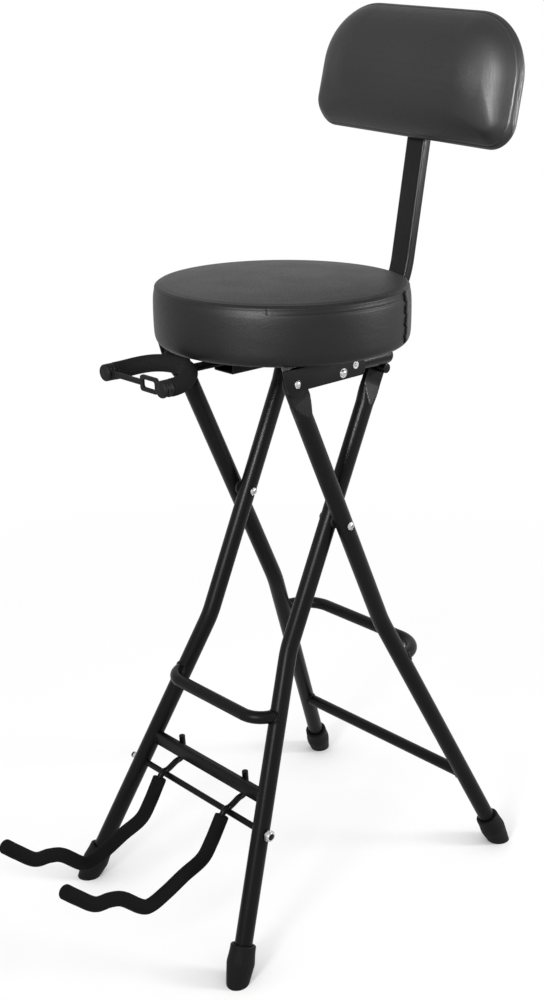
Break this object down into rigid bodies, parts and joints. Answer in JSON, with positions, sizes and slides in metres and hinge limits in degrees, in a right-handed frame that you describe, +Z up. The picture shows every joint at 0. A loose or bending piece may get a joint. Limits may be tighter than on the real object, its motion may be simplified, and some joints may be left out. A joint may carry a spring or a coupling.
{
  "type": "folding guitar chair",
  "caption": "Folding stool with crossed tube legs, a round padded seat, a padded backrest on a bent post, a foam neck yoke with a rubber band and a hinged padded cradle for a guitar.",
  "frame": {"origin": "on the floor, under the middle of the chair's bounding box", "axes": "+Z up, -Y the way the sitter faces, +X to the right seen from the front"},
  "size_m": [0.3914, 0.666, 1.0914],
  "materials": {
    "black_paint": "satin",
    "zinc": "satin",
    "rubber": "matte",
    "foam": "matte",
    "leather": "satin",
    "plywood": "matte",
    "black_plastic": "matte"
  },
  "bodies": {
    "rear_frame": {"cross_bolt_left": "zinc", "cross_bolt_right": "zinc", "cross_washer_left": "black_plastic", "cross_washer_right": "black_plastic", "rear_cross_tube": "black_paint", "rear_foot_left": "rubber", "rear_foot_right": "rubber", "rear_footrest": "black_paint", "rear_leg_left": "black_paint", "rear_leg_right": "black_paint"},
    "front_frame": {"front_cross_bar": "black_paint", "front_foot_left": "rubber", "front_foot_right": "rubber", "front_footrest": "black_paint", "front_leg_left": "black_paint", "front_leg_right": "black_paint", "seat_support_rod": "black_paint"},
    "seat": {"backrest_knob": "black_plastic", "backrest_sleeve": "black_paint", "seat_board": "plywood", "seat_cushion": "leather", "seat_pivot_bolt_left": "zinc", "seat_pivot_bolt_right": "zinc", "seat_rail_left": "black_paint", "seat_rail_right": "black_paint", "seat_screw_front_left": "zinc", "seat_screw_front_right": "zinc", "seat_screw_rear_left": "zinc", "seat_screw_rear_right": "zinc", "seat_strap_front": "black_paint", "seat_strap_rear": "black_paint", "side_plate_bolt_left": "zinc", "side_plate_bolt_right": "zinc", "side_plate_left": "black_paint", "side_plate_right": "black_paint", "side_plate_rivet_left": "zinc", "side_plate_rivet_right": "zinc", "yoke_cap_left": "rubber", "yoke_cap_right": "rubber", "yoke_foam": "foam", "yoke_rod": "black_paint", "yoke_stem": "black_paint", "yoke_stem_screw": "zinc"},
    "cradle": {"cradle_arm_left": "black_paint", "cradle_arm_right": "black_paint", "cradle_axle": "black_paint", "cradle_foam_left": "foam", "cradle_foam_right": "foam", "cradle_lock_nut_left": "zinc", "cradle_lock_nut_right": "zinc"},
    "neck_band": {"yoke_band": "rubber"},
    "backrest": {"backrest_board": "plywood", "backrest_pad": "leather", "backrest_post": "black_paint", "backrest_screw_lower": "zinc", "backrest_screw_upper": "zinc"}
  },
  "joints": [
    {"name": "leg_fold", "type": "hinge", "parent": "rear_frame", "child": "front_frame", "pos_m": [0, 0.07703, 0.517], "axis": [1, 0, 0], "range_deg": [0, 40]},
    {"name": "seat_tilt", "type": "hinge", "parent": "rear_frame", "child": "seat", "pos_m": [0, -0.00777, 0.705], "axis": [1, 0, 0], "range_deg": [0, 80]},
    {"name": "cradle_swing", "type": "hinge", "parent": "front_frame", "child": "cradle", "pos_m": [0, -0.08174, 0.165], "axis": [-1, 0, 0], "range_deg": [0, 100]},
    {"name": "neck_band_swing", "type": "hinge", "parent": "seat", "child": "neck_band", "pos_m": [-0.0502, -0.14337, 0.7137], "axis": [0, -1, 0], "range_deg": [0, 120]},
    {"name": "backrest_slide", "type": "slide", "parent": "seat", "child": "backrest", "axis": [0, 1, 0], "range_m": [0, 0.06]}
  ],
  "couplings": [
    {"joint": "seat_tilt", "follows": "leg_fold", "ratio": 2}
  ]
}
